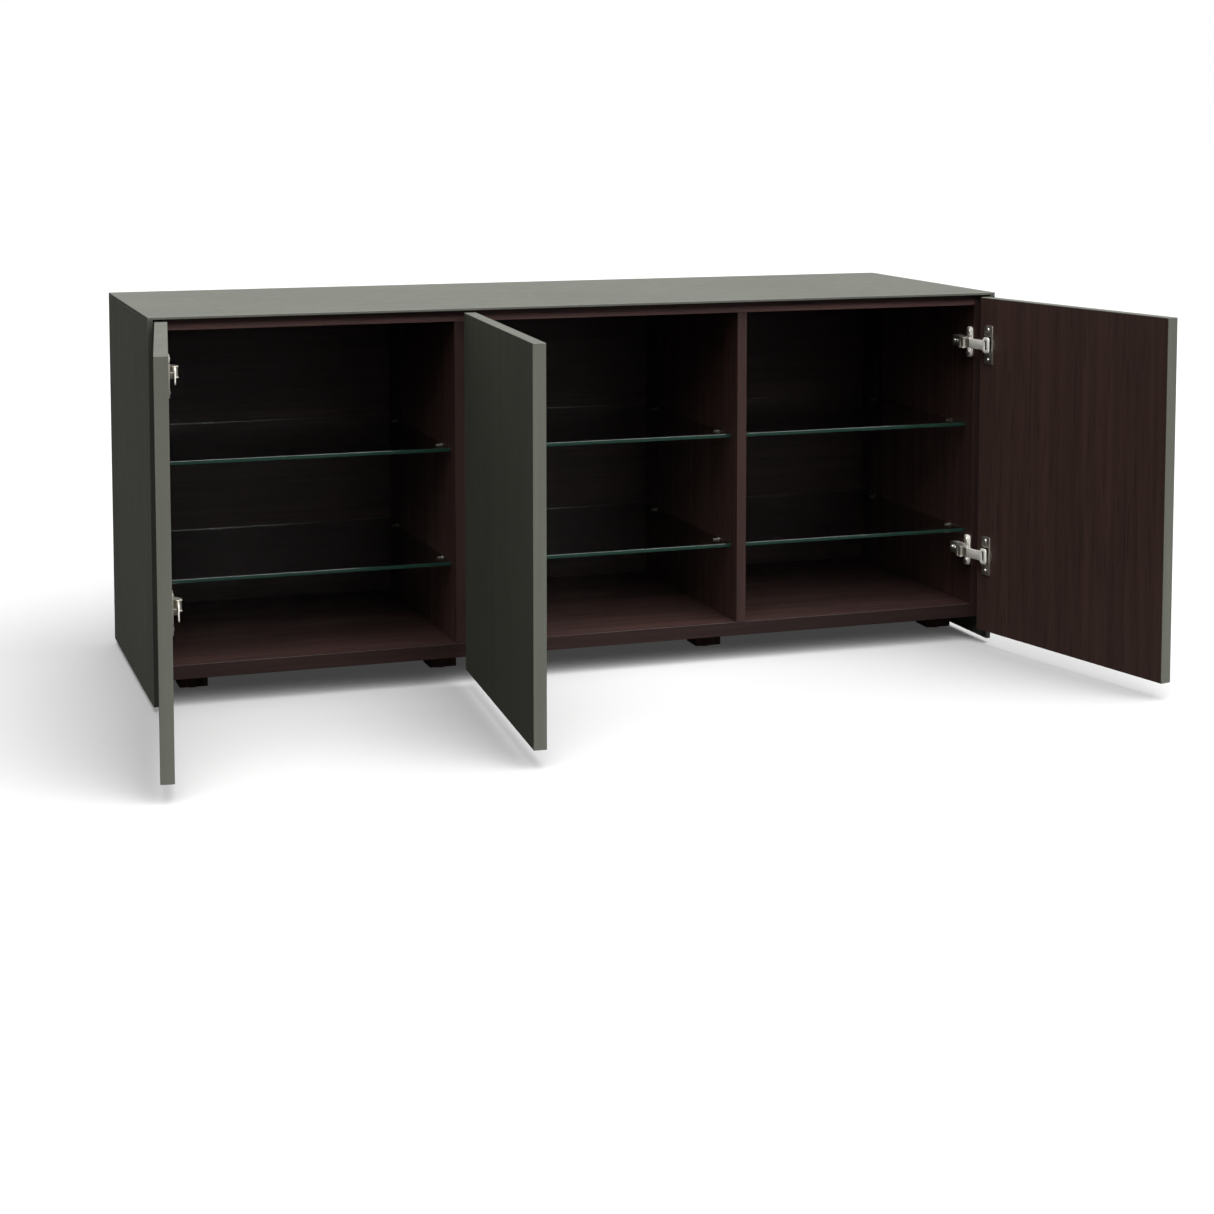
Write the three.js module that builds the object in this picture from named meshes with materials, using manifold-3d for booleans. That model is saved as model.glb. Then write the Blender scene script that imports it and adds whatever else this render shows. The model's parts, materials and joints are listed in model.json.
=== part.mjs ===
// A low media cabinet with three bays, three hinged doors and six glass shelves.
// Millimetres, +Z up, +X to the right when facing the doors, +Y towards the back.
// The doors stand open: this is the stored pose, and every door angle is named below.
import * as THREE from 'three';
import * as BufferGeometryUtils from 'three/addons/utils/BufferGeometryUtils.js';
import Module from 'manifold-3d';

const wasm = await Module();
wasm.setup();

// Overall size of the cabinet body.
const WIDTH = 1400;
const DEPTH = 475;
const HEIGHT = 594;
const GAP = 0.3; // between two pieces that touch

// Outer shell.
const TOP_SLAB = 4;
const OUTER_SIDE = 8;
const OUTER_SIDE_FOOT = 8; // height of the lower edge above the floor

// Inner carcass, set back behind the closed doors.
const CARCASS_FRONT = 21;
const CARCASS_BACK = 470;
const INNER_SIDE = 18;
const CARCASS_TOP = 18;
const CARCASS_FLOOR = 22;
const CARCASS_FLOOR_Z = 42; // underside of the floor board
const DIVIDER = 16;
const BACK_PANEL = 8;
const BACK_PANEL_FRONT = 458;

// Doors.
const DOOR_THICKNESS = 19;
const DOOR_Z = 27;
const DOOR_TOP_GAP = 3; // below the top slab
const DOOR_GAP = 3; // between neighbouring doors
const DOOR_SIDE_GAP = 2; // between a door and the outer side
const WIDE_DOOR = 470; // left and middle door
const OPEN_ANGLE = { left: 98, middle: 94, right: 102 };

// Glass shelves.
const SHELF_THICKNESS = 6;
const SHELF_FRONT = 45;
const SHELF_BACK = 456;
const SHELF_SIDE_GAP = 0.8;
const SHELF_Z = { lower: 184, upper: 365 };

// Feet: a wooden block with a round glide under it.
const FOOT_SIDE = 44;
const FOOT_FRONT = 120;
const FOOT_REAR = 380;
const GLIDE_RADIUS = 11;
const GLIDE_HEIGHT = 3.5;
const FOOT_X = { outer_left: -622, inner_left: -222, inner_right: 236, outer_right: 664 };

// Concealed hinges. In the plan of one hinge, a runs from the door's hinge corner into the
// bay and b runs from the front plane into the cabinet.
const HINGE_Z = { lower: 155, upper: 509 };
const LINK_PIVOT = { a: 33.5, b: 26 };
const LINK_RATIO = 1.15; // turn of the link for each turn of its door
const CUP_INSET = 22.5; // cup centre from the door's hinge edge
const CUP_HOLE_RADIUS = 17.5;
const CUP_DEPTH = 12;

// Derived places.
const sideInner = WIDTH / 2 - OUTER_SIDE; // inner face of an outer side
const bayEnd = sideInner - GAP - INNER_SIDE; // inner face of an inner side
const slabUnder = HEIGHT - TOP_SLAB;
const carcassTopZ = slabUnder - GAP - CARCASS_TOP;
const floorTopZ = CARCASS_FLOOR_Z + CARCASS_FLOOR;
const doorHeight = slabUnder - DOOR_TOP_GAP - DOOR_Z;
const doorEdge = sideInner - DOOR_SIDE_GAP;
const leftHinge = -doorEdge;
const middleHinge = leftHinge + WIDE_DOOR + DOOR_GAP;
const rightDoorWidth = doorEdge - (middleHinge + WIDE_DOOR + DOOR_GAP);
const dividerLeft = middleHinge - DOOR_GAP / 2; // centre line
const dividerRight = middleHinge + WIDE_DOOR + DOOR_GAP / 2; // centre line

const DOORS = [
  { name: 'left', hingeX: leftHinge, width: WIDE_DOOR, inward: 1, boardFace: -bayEnd },
  { name: 'middle', hingeX: middleHinge, width: WIDE_DOOR, inward: 1, boardFace: dividerLeft + DIVIDER / 2 },
  { name: 'right', hingeX: doorEdge, width: rightDoorWidth, inward: -1, boardFace: bayEnd },
];
const BAYS = [
  { name: 'left', from: -bayEnd, to: dividerLeft - DIVIDER / 2 },
  { name: 'middle', from: dividerLeft + DIVIDER / 2, to: dividerRight - DIVIDER / 2 },
  { name: 'right', from: dividerRight + DIVIDER / 2, to: bayEnd },
];

// Materials.
const lacquer = new THREE.MeshStandardMaterial({ color: 0x55574f, roughness: 0.5 });
const topGlass = new THREE.MeshStandardMaterial({ color: 0x6b6d65, roughness: 0.35 });
const wenge = new THREE.MeshStandardMaterial({ color: 0x35241f, roughness: 0.55 });
const shelfGlass = new THREE.MeshStandardMaterial({ color: 0x9fc4b4, roughness: 0.05 });
const nickel = new THREE.MeshStandardMaterial({ color: 0xc8c6b9, roughness: 0.3, metalness: 1 });
const glidePlastic = new THREE.MeshStandardMaterial({ color: 0x1c1b1a, roughness: 0.6 });

const cabinet = new THREE.Group();

function radians(degrees) {
  return (degrees * Math.PI) / 180;
}

// Merges equal corners, so that the geometry is one closed surface.
function closed(geometry) {
  const bare = geometry.index ? geometry.toNonIndexed() : geometry.clone();
  bare.deleteAttribute('normal');
  bare.deleteAttribute('uv');
  return BufferGeometryUtils.mergeVertices(bare, 1e-4);
}

function toSolid(geometry) {
  const merged = closed(geometry);
  const vertProperties = new Float32Array(merged.attributes.position.array);
  const triVerts = new Uint32Array(merged.index.array);
  return new wasm.Manifold(new wasm.Mesh({ numProp: 3, vertProperties, triVerts }));
}

function toGeometry(solid) {
  const mesh = solid.getMesh();
  const geometry = new THREE.BufferGeometry();
  geometry.setAttribute('position', new THREE.BufferAttribute(new Float32Array(mesh.vertProperties), 3));
  geometry.setIndex(new THREE.BufferAttribute(new Uint32Array(mesh.triVerts), 1));
  geometry.computeVertexNormals();
  return geometry;
}

// Box between two opposite corners.
function boxGeometry(low, high) {
  const size = high.map((value, i) => value - low[i]);
  const geometry = new THREE.BoxGeometry(...size);
  geometry.translate(...low.map((value, i) => value + size[i] / 2));
  return geometry;
}

// Cylinder between two heights on an axis that is parallel to Z.
function uprightCylinder(x, y, radius, low, high, segments) {
  const geometry = new THREE.CylinderGeometry(radius, radius, high - low, segments);
  geometry.rotateX(Math.PI / 2);
  geometry.translate(x, y, (low + high) / 2);
  return geometry;
}

// Cylinder between two depths on an axis that is parallel to Y.
function facingCylinder(x, z, radius, near, far, segments) {
  const geometry = new THREE.CylinderGeometry(radius, radius, far - near, segments);
  geometry.translate(x, (near + far) / 2, z);
  return geometry;
}

// Plan outline, extruded upwards between two heights.
function planExtrusion(points, low, high) {
  const outline = new THREE.Shape(points.map(([x, y]) => new THREE.Vector2(x, y)));
  const geometry = new THREE.ExtrudeGeometry(outline, { depth: high - low, bevelEnabled: false });
  geometry.translate(0, 0, low);
  return geometry;
}

function place(parent, name, geometry, material) {
  const mesh = new THREE.Mesh(geometry, material);
  mesh.name = name;
  parent.add(mesh);
  return mesh;
}

function board(name, low, high, material) {
  return place(cabinet, name, boxGeometry(low, high), material);
}

function addShell() {
  board('top_slab', [-WIDTH / 2, 0, slabUnder], [WIDTH / 2, DEPTH, HEIGHT], topGlass);
  const low = OUTER_SIDE_FOOT;
  const high = slabUnder - GAP;
  board('outer_side_left', [-WIDTH / 2, 0, low], [-sideInner, DEPTH, high], lacquer);
  board('outer_side_right', [sideInner, 0, low], [WIDTH / 2, DEPTH, high], lacquer);
}

function addCarcass() {
  const outer = sideInner - GAP;
  const high = slabUnder - GAP;
  const inner = bayEnd - GAP;
  board('inner_side_left', [-outer, CARCASS_FRONT, CARCASS_FLOOR_Z], [-bayEnd, CARCASS_BACK, high], wenge);
  board('inner_side_right', [bayEnd, CARCASS_FRONT, CARCASS_FLOOR_Z], [outer, CARCASS_BACK, high], wenge);
  board('carcass_top', [-inner, CARCASS_FRONT, carcassTopZ], [inner, CARCASS_BACK, high], wenge);
  board('carcass_floor', [-inner, CARCASS_FRONT, CARCASS_FLOOR_Z], [inner, CARCASS_BACK, floorTopZ], wenge);
  const low = floorTopZ + GAP;
  const top = carcassTopZ - GAP;
  const backFace = BACK_PANEL_FRONT + BACK_PANEL;
  board('back_panel', [-inner, BACK_PANEL_FRONT, low], [inner, backFace, top], wenge);
  const half = DIVIDER / 2;
  const rear = BACK_PANEL_FRONT - GAP;
  const centres = { divider_left: dividerLeft, divider_right: dividerRight };
  for (const [name, x] of Object.entries(centres)) {
    board(name, [x - half, CARCASS_FRONT, low], [x + half, rear, top], wenge);
  }
}

function addShelves() {
  for (const bay of BAYS) {
    for (const [level, z] of Object.entries(SHELF_Z)) {
      const low = [bay.from + SHELF_SIDE_GAP, SHELF_FRONT, z];
      const high = [bay.to - SHELF_SIDE_GAP, SHELF_BACK, z + SHELF_THICKNESS];
      board(`shelf_${bay.name}_${level}`, low, high, shelfGlass);
    }
  }
}

function addFeet() {
  const rows = { front: FOOT_FRONT, rear: FOOT_REAR };
  const half = FOOT_SIDE / 2;
  for (const [row, y] of Object.entries(rows)) {
    for (const [column, x] of Object.entries(FOOT_X)) {
      const low = [x - half, y, GLIDE_HEIGHT + GAP];
      const high = [x + half, y + FOOT_SIDE, CARCASS_FLOOR_Z - GAP];
      board(`foot_${row}_${column}`, low, high, wenge);
      const glide = uprightCylinder(x, y + half, GLIDE_RADIUS, 0, GLIDE_HEIGHT, 32);
      place(cabinet, `glide_${row}_${column}`, glide, glidePlastic);
    }
  }
}

// Door panel in its own frame: x from the hinge edge along the door, y from the outer face to
// the inner face. Two blind holes in the inner face take the hinge cups.
function doorPanel(width, inward) {
  const edges = [0, inward * width].sort((first, second) => first - second);
  const low = [edges[0], 0, DOOR_Z];
  const high = [edges[1], DOOR_THICKNESS, DOOR_Z + doorHeight];
  let panel = toSolid(boxGeometry(low, high));
  const holeFloor = DOOR_THICKNESS - CUP_DEPTH - GAP;
  for (const z of Object.values(HINGE_Z)) {
    const x = inward * CUP_INSET;
    const hole = facingCylinder(x, z, CUP_HOLE_RADIUS, holeFloor, DOOR_THICKNESS + 1, 48);
    panel = panel.subtract(toSolid(hole));
  }
  return toGeometry(panel);
}

// Hinge cup in the door's frame: a flat flange on the inner face and a bowl in the hole.
function hingeCup(z, inward) {
  const flangeHalfHeight = 32.5;
  const flangeHalfWidth = 13.5;
  const flangeThickness = 1.2;
  const flangeInset = 23.5;
  const wall = 1.5;
  const face = DOOR_THICKNESS + GAP;
  const x = inward * CUP_INSET;
  const bowlRadius = CUP_HOLE_RADIUS - GAP;
  const centre = inward * flangeInset;
  const low = [centre - flangeHalfWidth, face, z - flangeHalfHeight];
  const high = [centre + flangeHalfWidth, face + flangeThickness, z + flangeHalfHeight];
  const bowlFloor = DOOR_THICKNESS - CUP_DEPTH;
  const bowl = facingCylinder(x, z, bowlRadius, bowlFloor, face + flangeThickness, 40);
  const well = facingCylinder(x, z, bowlRadius - wall, bowlFloor + wall, face + 5, 40);
  return toGeometry(toSolid(boxGeometry(low, high)).add(toSolid(bowl)).subtract(toSolid(well)));
}

function addDoor(door) {
  const swing = new THREE.Group();
  swing.position.x = door.hingeX;
  swing.rotation.z = -door.inward * radians(OPEN_ANGLE[door.name]);
  cabinet.add(swing);
  place(swing, `door_${door.name}`, doorPanel(door.width, door.inward), lacquer);
  for (const [level, z] of Object.entries(HINGE_Z)) {
    place(swing, `cup_${door.name}_${level}`, hingeCup(z, door.inward), nickel);
  }
}

// Cross-shaped plate that is screwed to the board beside the bay.
function mountingPlate(door, z) {
  const under = Math.abs(door.boardFace - door.hingeX) + GAP;
  const spine = planBox(door, [under, 30, z - 8.5], [under + 4, 70, z + 8.5]);
  const wings = planBox(door, [under, 38, z - 25.5], [under + 2.6, 50, z + 25.5]);
  return toGeometry(toSolid(spine).add(toSolid(wings)));
}

// Fixed arm on the mounting plate. Two ears at its front end hold the link's pin.
function hingeArm(door, z) {
  const seat = Math.abs(door.boardFace - door.hingeX) + GAP + 4 + GAP;
  const rearTop = seat + 9;
  const outline = [[seat, 72], [seat, 40], [28, 31], [38, 31], [38, 36], [rearTop, 48], [rearTop, 72]];
  const halfHeight = 9;
  const earInner = 7.4;
  let arm = toSolid(planExtrusion(planPoints(door, outline), z - halfHeight, z + halfHeight));
  const pivotX = door.hingeX + door.inward * LINK_PIVOT.a;
  const pinHole = uprightCylinder(pivotX, LINK_PIVOT.b, 1.6, z - 15, z + 15, 20);
  const lowerEar = planBox(door, [29, 21.5, z - halfHeight], [38, 32, z - earInner]);
  const upperEar = planBox(door, [29, 21.5, z + earInner], [38, 32, z + halfHeight]);
  arm = arm.add(toSolid(lowerEar)).add(toSolid(upperEar)).subtract(toSolid(pinHole));
  return toGeometry(arm);
}

// Box in the plan of one hinge: a into the bay, b into the cabinet.
function planBox(door, low, high) {
  const ends = [low[0], high[0]].map((a) => door.hingeX + door.inward * a);
  const near = [Math.min(...ends), low[1], low[2]];
  const far = [Math.max(...ends), high[1], high[2]];
  return boxGeometry(near, far);
}

function planPoints(door, points) {
  return points.map(([a, b]) => [door.hingeX + door.inward * a, b]);
}

// Goose-neck link, with its pin at the origin: it runs along the open door and its hook
// reaches down into the cup.
function hingeLink(z, inward) {
  const halfHeight = 7.1;
  const barTop = 2;
  const barUnder = -1.5;
  const hookFrom = 50;
  const hookTo = 56;
  const hookUnder = -12.5;
  const outline = [
    [0, barTop], [hookTo - 2, barTop], [hookTo, barTop - 2], [hookTo, hookUnder],
    [hookFrom, hookUnder], [hookFrom, barUnder - 2], [hookFrom - 2, barUnder], [0, barUnder],
  ];
  const points = outline.map(([u, v]) => [inward * u, v]);
  const barrel = uprightCylinder(0, 0, 3.8, z - halfHeight, z + halfHeight, 24);
  const pin = uprightCylinder(0, 0, 1.5, z - 9, z + 9, 20);
  const bar = planExtrusion(points, z - halfHeight, z + halfHeight);
  return toGeometry(toSolid(bar).add(toSolid(barrel)).add(toSolid(pin)));
}

function addHinges(door) {
  const openAngle = radians(OPEN_ANGLE[door.name]);
  for (const [level, z] of Object.entries(HINGE_Z)) {
    place(cabinet, `plate_${door.name}_${level}`, mountingPlate(door, z), nickel);
    place(cabinet, `arm_${door.name}_${level}`, hingeArm(door, z), nickel);
    const link = place(cabinet, `link_${door.name}_${level}`, hingeLink(z, door.inward), nickel);
    link.position.set(door.hingeX + door.inward * LINK_PIVOT.a, LINK_PIVOT.b, 0);
    link.rotation.z = -door.inward * openAngle;
  }
}

// Moves the origin to the floor, under the middle of the box around the open cabinet.
function centreOnFloor(group) {
  group.updateMatrixWorld(true);
  const box = new THREE.Box3().setFromObject(group, true);
  group.position.set(-(box.min.x + box.max.x) / 2, -(box.min.y + box.max.y) / 2, 0);
}

addShell();
addCarcass();
addShelves();
addFeet();
for (const door of DOORS) {
  addDoor(door);
  addHinges(door);
}
centreOnFloor(cabinet);

export default cabinet;
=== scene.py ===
"""Looks of a low media cabinet: lacquered shell, wenge carcass, glass shelves, nickel hinges."""
import json
import math

import bmesh
import bpy
from mathutils import Matrix, Vector


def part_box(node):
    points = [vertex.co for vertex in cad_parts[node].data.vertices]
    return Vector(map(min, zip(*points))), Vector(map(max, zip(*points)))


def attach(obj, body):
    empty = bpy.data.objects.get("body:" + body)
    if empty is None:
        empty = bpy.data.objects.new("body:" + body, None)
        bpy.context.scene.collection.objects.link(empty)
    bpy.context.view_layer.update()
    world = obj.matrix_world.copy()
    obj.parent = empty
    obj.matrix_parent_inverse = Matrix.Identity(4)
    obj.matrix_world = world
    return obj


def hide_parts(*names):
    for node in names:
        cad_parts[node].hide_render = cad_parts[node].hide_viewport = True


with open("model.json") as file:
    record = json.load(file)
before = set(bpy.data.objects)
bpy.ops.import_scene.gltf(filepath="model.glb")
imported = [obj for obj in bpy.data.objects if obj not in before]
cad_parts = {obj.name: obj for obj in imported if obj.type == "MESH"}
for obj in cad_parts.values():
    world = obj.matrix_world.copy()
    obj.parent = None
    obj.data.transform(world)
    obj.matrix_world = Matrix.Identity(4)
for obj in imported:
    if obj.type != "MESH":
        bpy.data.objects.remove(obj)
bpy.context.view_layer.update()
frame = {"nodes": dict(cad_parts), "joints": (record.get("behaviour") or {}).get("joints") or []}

MM = 0.001

# Camera in the shared frame: metres, radians, and millimetres for the lens.
CAMERA_PLACE = (-1.1691, -3.4418, 0.9116)
CAMERA_TURN = 0.3286  # to the right of +Y
CAMERA_TILT = 0.0855  # downwards
CAMERA_LENS = 68.75
CAMERA_SENSOR = 36.0
CAMERA_SHIFT = -0.2529

# Studio lamps: strength, then degrees above the horizon, to the right of the front, and of spread.
KEY = (8.5, 57.0, 16.0, 75.0)
BACK_LAMP = (1.5, 40.0, 175.0, 60.0)
FILL = 0.20
WHITE = (1.0, 1.0, 1.0, 1)
FLOOR_SIZE = 40.0
FLOOR_SEEN = (0.40, 0.40, 0.40, 1)
FLOOR_BOUNCE = (0.035, 0.035, 0.035, 1)  # what the floor throws back on the cabinet
FLOOR_GLOW = 0.05  # keeps the deepest shadow on the floor grey

# Edge rounding of the boards.
LACQUER_ROUND = 0.9 * MM
VENEER_ROUND = 0.6 * MM
SLAB_ROUND = 0.7 * MM
GLASS_ROUND = 0.7 * MM
FOOT_ROUND = 1.2 * MM

LEVELS = ("lower", "upper")
BAYS = ("left", "middle", "right")  # each bay has a door and two hinges of the same name

# ---------------------------------------------------------------- shader helpers


def add(tree, kind, **settings):
    node = tree.nodes.new(kind)
    for key, value in settings.items():
        setattr(node, key, value)
    return node


def join(tree, source, target):
    tree.links.new(source, target)


def group_of(name, inputs, outputs):
    """Empty shader group with named sockets; inputs are (name, type, default)."""
    tree = bpy.data.node_groups.new(name, "ShaderNodeTree")
    for label, kind, default in inputs:
        socket = tree.interface.new_socket(label, in_out="INPUT", socket_type="NodeSocket" + kind)
        if default is not None:
            socket.default_value = default
    for label, kind in outputs:
        tree.interface.new_socket(label, in_out="OUTPUT", socket_type="NodeSocket" + kind)
    return tree, add(tree, "NodeGroupInput"), add(tree, "NodeGroupOutput")


def noise(tree, vector, scale, detail=3.0, roughness=0.55, distortion=0.0):
    node = add(tree, "ShaderNodeTexNoise")
    node.inputs["Scale"].default_value = scale
    node.inputs["Detail"].default_value = detail
    node.inputs["Roughness"].default_value = roughness
    node.inputs["Distortion"].default_value = distortion
    join(tree, vector, node.inputs["Vector"])
    return node.outputs["Fac"]


def spread(tree, value, low, high, to_low=0.0, to_high=1.0):
    """Maps low..high of a value onto another range, clamped."""
    node = add(tree, "ShaderNodeMapRange")
    for key, number in (("From Min", low), ("From Max", high), ("To Min", to_low), ("To Max", to_high)):
        node.inputs[key].default_value = number
    join(tree, value, node.inputs["Value"])
    return node.outputs["Result"]


def maths(tree, operation, first, second):
    node = add(tree, "ShaderNodeMath", operation=operation)
    for socket, value in zip(node.inputs, (first, second)):
        if isinstance(value, (int, float)):
            socket.default_value = value
        else:
            join(tree, value, socket)
    return node.outputs["Value"]


def mixed(tree, factor, first, second):
    """Colour between first and second; each is a colour or a socket."""
    node = add(tree, "ShaderNodeMix", data_type="RGBA")
    for socket, value in ((node.inputs[0], factor), (node.inputs[6], first), (node.inputs[7], second)):
        if isinstance(value, (int, float, tuple)):
            socket.default_value = value
        else:
            join(tree, value, socket)
    return node.outputs[2]


def stretched(tree, vector, stretch):
    node = add(tree, "ShaderNodeVectorMath", operation="MULTIPLY")
    join(tree, vector, node.inputs[0])
    if isinstance(stretch, tuple):
        node.inputs[1].default_value = stretch
    else:
        join(tree, stretch, node.inputs[1])
    return node.outputs["Vector"]


# ---------------------------------------------------------------- shared shader groups

FINISH_OUTPUTS = [("Color", "Color"), ("Roughness", "Float"), ("Height", "Float")]
PORE_COLOUR = (0.008, 0.005, 0.004, 1.0)
STAIN_COLOUR = (0.33, 0.31, 0.27, 1.0)


def make_veneer_group():
    """Straight-grained dark veneer: broad bands, fine streaks and open pores along the grain."""
    inputs = [
        ("Vector", "Vector", None),
        ("Stretch", "Vector", (1.0, 1.0, 1.0)),
        ("Ground", "Color", (0.03, 0.018, 0.015, 1)),
        ("Streak", "Color", (0.07, 0.04, 0.034, 1)),
        ("Roughness", "Float", 0.45),
    ]
    tree, given, out = group_of("open_grain_veneer", inputs, FINISH_OUTPUTS)
    along = stretched(tree, given.outputs["Vector"], given.outputs["Stretch"])
    bands = noise(tree, along, 14.0, 3.0, 0.5, 0.6)
    streaks = noise(tree, along, 70.0, 5.0, 0.65, 0.25)
    pores = noise(tree, along, 320.0, 2.0, 0.5)
    band_share = spread(tree, bands, 0.32, 0.68)
    streak_share = spread(tree, streaks, 0.36, 0.70)
    banding = maths(tree, "ADD", maths(tree, "MULTIPLY", band_share, 0.65), 0.35)
    share = maths(tree, "MULTIPLY", streak_share, banding)
    colour = mixed(tree, share, given.outputs["Ground"], given.outputs["Streak"])
    pore = spread(tree, pores, 0.60, 0.70)
    pored = mixed(tree, maths(tree, "MULTIPLY", pore, 0.55), colour, PORE_COLOUR)
    join(tree, pored, out.inputs["Color"])
    rough = maths(tree, "ADD", given.outputs["Roughness"], maths(tree, "MULTIPLY", pore, 0.18))
    rough = maths(tree, "SUBTRACT", rough, maths(tree, "MULTIPLY", streak_share, 0.06))
    join(tree, rough, out.inputs["Roughness"])
    height = maths(tree, "SUBTRACT", maths(tree, "MULTIPLY", streak_share, 0.25), pore)
    join(tree, height, out.inputs["Height"])
    return tree


def make_lacquer_group():
    """Sprayed satin lacquer: faint cloudiness, upright rubbing marks, fine peel and uneven sheen."""
    inputs = [
        ("Vector", "Vector", None),
        ("Tint", "Color", (0.1, 0.1, 0.09, 1)),
        ("Roughness", "Float", 0.45),
        ("Cloud", "Float", 0.08),
    ]
    tree, given, out = group_of("sprayed_lacquer", inputs, FINISH_OUTPUTS)
    place = given.outputs["Vector"]
    cloud = noise(tree, place, 3.2, 4.0, 0.55)
    speck = noise(tree, place, 900.0, 2.0, 0.5)
    peel = noise(tree, place, 420.0, 2.0, 0.45)
    hand = noise(tree, place, 11.0, 5.0, 0.6, 0.8)
    rubbed = noise(tree, stretched(tree, place, (55.0, 55.0, 2.2)), 1.0, 4.0, 0.6)
    lift = maths(tree, "MULTIPLY", spread(tree, cloud, 0.3, 0.7, -1.0, 1.0), given.outputs["Cloud"])
    grit = spread(tree, speck, 0.3, 0.7, -0.035, 0.035)
    marks = spread(tree, rubbed, 0.3, 0.7, -0.085, 0.085)
    value = maths(tree, "ADD", maths(tree, "ADD", lift, maths(tree, "ADD", grit, marks)), 1.0)
    shade = add(tree, "ShaderNodeHueSaturation")
    join(tree, given.outputs["Tint"], shade.inputs["Color"])
    join(tree, value, shade.inputs["Value"])
    join(tree, shade.outputs["Color"], out.inputs["Color"])
    rough = maths(tree, "ADD", given.outputs["Roughness"], spread(tree, hand, 0.35, 0.75, -0.03, 0.05))
    join(tree, rough, out.inputs["Roughness"])
    join(tree, peel, out.inputs["Height"])
    return tree


def make_plated_group():
    """Plated pressed steel: a fine grain, small stains and a soft variation of gloss."""
    inputs = [
        ("Vector", "Vector", None),
        ("Tint", "Color", (0.6, 0.58, 0.53, 1)),
        ("Roughness", "Float", 0.25),
    ]
    tree, given, out = group_of("plated_steel", inputs, FINISH_OUTPUTS)
    stain = noise(tree, given.outputs["Vector"], 140.0, 4.0, 0.6)
    fine = noise(tree, given.outputs["Vector"], 2600.0, 2.0, 0.5)
    stained = spread(tree, stain, 0.45, 0.75, 0.0, 0.35)
    join(tree, mixed(tree, stained, given.outputs["Tint"], STAIN_COLOUR), out.inputs["Color"])
    rough = maths(tree, "ADD", given.outputs["Roughness"], spread(tree, stain, 0.35, 0.75, -0.05, 0.14))
    join(tree, rough, out.inputs["Roughness"])
    join(tree, fine, out.inputs["Height"])
    return tree


def make_wiped_group():
    """Wiped glass: faint smears in its gloss."""
    inputs = [("Vector", "Vector", None), ("Roughness", "Float", 0.01)]
    tree, given, out = group_of("wiped_glass", inputs, [("Roughness", "Float")])
    smear = noise(tree, given.outputs["Vector"], 9.0, 4.0, 0.6, 1.2)
    rough = maths(tree, "ADD", given.outputs["Roughness"], spread(tree, smear, 0.4, 0.8, 0.0, 0.05))
    join(tree, rough, out.inputs["Roughness"])
    return tree


VENEER = make_veneer_group()
LACQUER = make_lacquer_group()
PLATED = make_plated_group()
WIPED = make_wiped_group()

# ---------------------------------------------------------------- materials


def surfaced(name, group, values, bump, bump_depth, settings, offset=(0, 0, 0)):
    """Material whose colour, roughness and bump come from one of the shared groups."""
    material = bpy.data.materials.new(name)
    material.use_nodes = True
    tree = material.node_tree
    shader = tree.nodes["Principled BSDF"]
    for key, value in settings.items():
        shader.inputs[key].default_value = value
    place = add(tree, "ShaderNodeTexCoord")
    mapping = add(tree, "ShaderNodeMapping")
    mapping.inputs["Location"].default_value = offset
    join(tree, place.outputs["Object"], mapping.inputs["Vector"])
    effect = add(tree, "ShaderNodeGroup", node_tree=group)
    join(tree, mapping.outputs["Vector"], effect.inputs["Vector"])
    for key, value in values.items():
        effect.inputs[key].default_value = value
    join(tree, effect.outputs["Color"], shader.inputs["Base Color"])
    join(tree, effect.outputs["Roughness"], shader.inputs["Roughness"])
    relief = add(tree, "ShaderNodeBump")
    relief.inputs["Strength"].default_value = bump
    relief.inputs["Distance"].default_value = bump_depth
    join(tree, effect.outputs["Height"], relief.inputs["Height"])
    join(tree, relief.outputs["Normal"], shader.inputs["Normal"])
    return material


# How the veneer's pattern is stretched along the grain.
UPRIGHT = (1.0, 1.0, 0.035)
LEVEL = (0.035, 1.0, 1.0)


def wenge(name, stretch, offset, ground, streak):
    """Wenge veneer; the offset takes each board's pattern from another place in the log."""
    values = {"Stretch": stretch, "Ground": ground, "Streak": streak, "Roughness": 0.46}
    return surfaced(name, VENEER, values, 0.35, 0.15 * MM, {"Specular IOR Level": 0.28}, offset)


def lacquer(name, tint, roughness, cloud, specular):
    values = {"Tint": tint, "Roughness": roughness, "Cloud": cloud}
    return surfaced(name, LACQUER, values, 0.12, 0.04 * MM, {"Specular IOR Level": specular})


def plated(name, tint, roughness, metallic=1.0):
    values = {"Tint": tint, "Roughness": roughness}
    return surfaced(name, PLATED, values, 0.08, 0.02 * MM, {"Metallic": metallic})


def glass(name, tint, transmission, roughness):
    """Float glass; the faint smears are only in its roughness."""
    material = bpy.data.materials.new(name)
    material.use_nodes = True
    tree = material.node_tree
    shader = tree.nodes["Principled BSDF"]
    shader.inputs["Transmission Weight"].default_value = transmission
    shader.inputs["IOR"].default_value = 1.52
    shader.inputs["Base Color"].default_value = tint
    place = add(tree, "ShaderNodeTexCoord")
    effect = add(tree, "ShaderNodeGroup", node_tree=WIPED)
    effect.inputs["Roughness"].default_value = roughness
    join(tree, place.outputs["Object"], effect.inputs["Vector"])
    join(tree, effect.outputs["Roughness"], shader.inputs["Roughness"])
    return material


def moulded_plastic(name, tint):
    values = {"Tint": tint, "Roughness": 0.55, "Cloud": 0.15}
    return surfaced(name, LACQUER, values, 0.3, 0.05 * MM, {"Specular IOR Level": 0.4})


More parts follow.
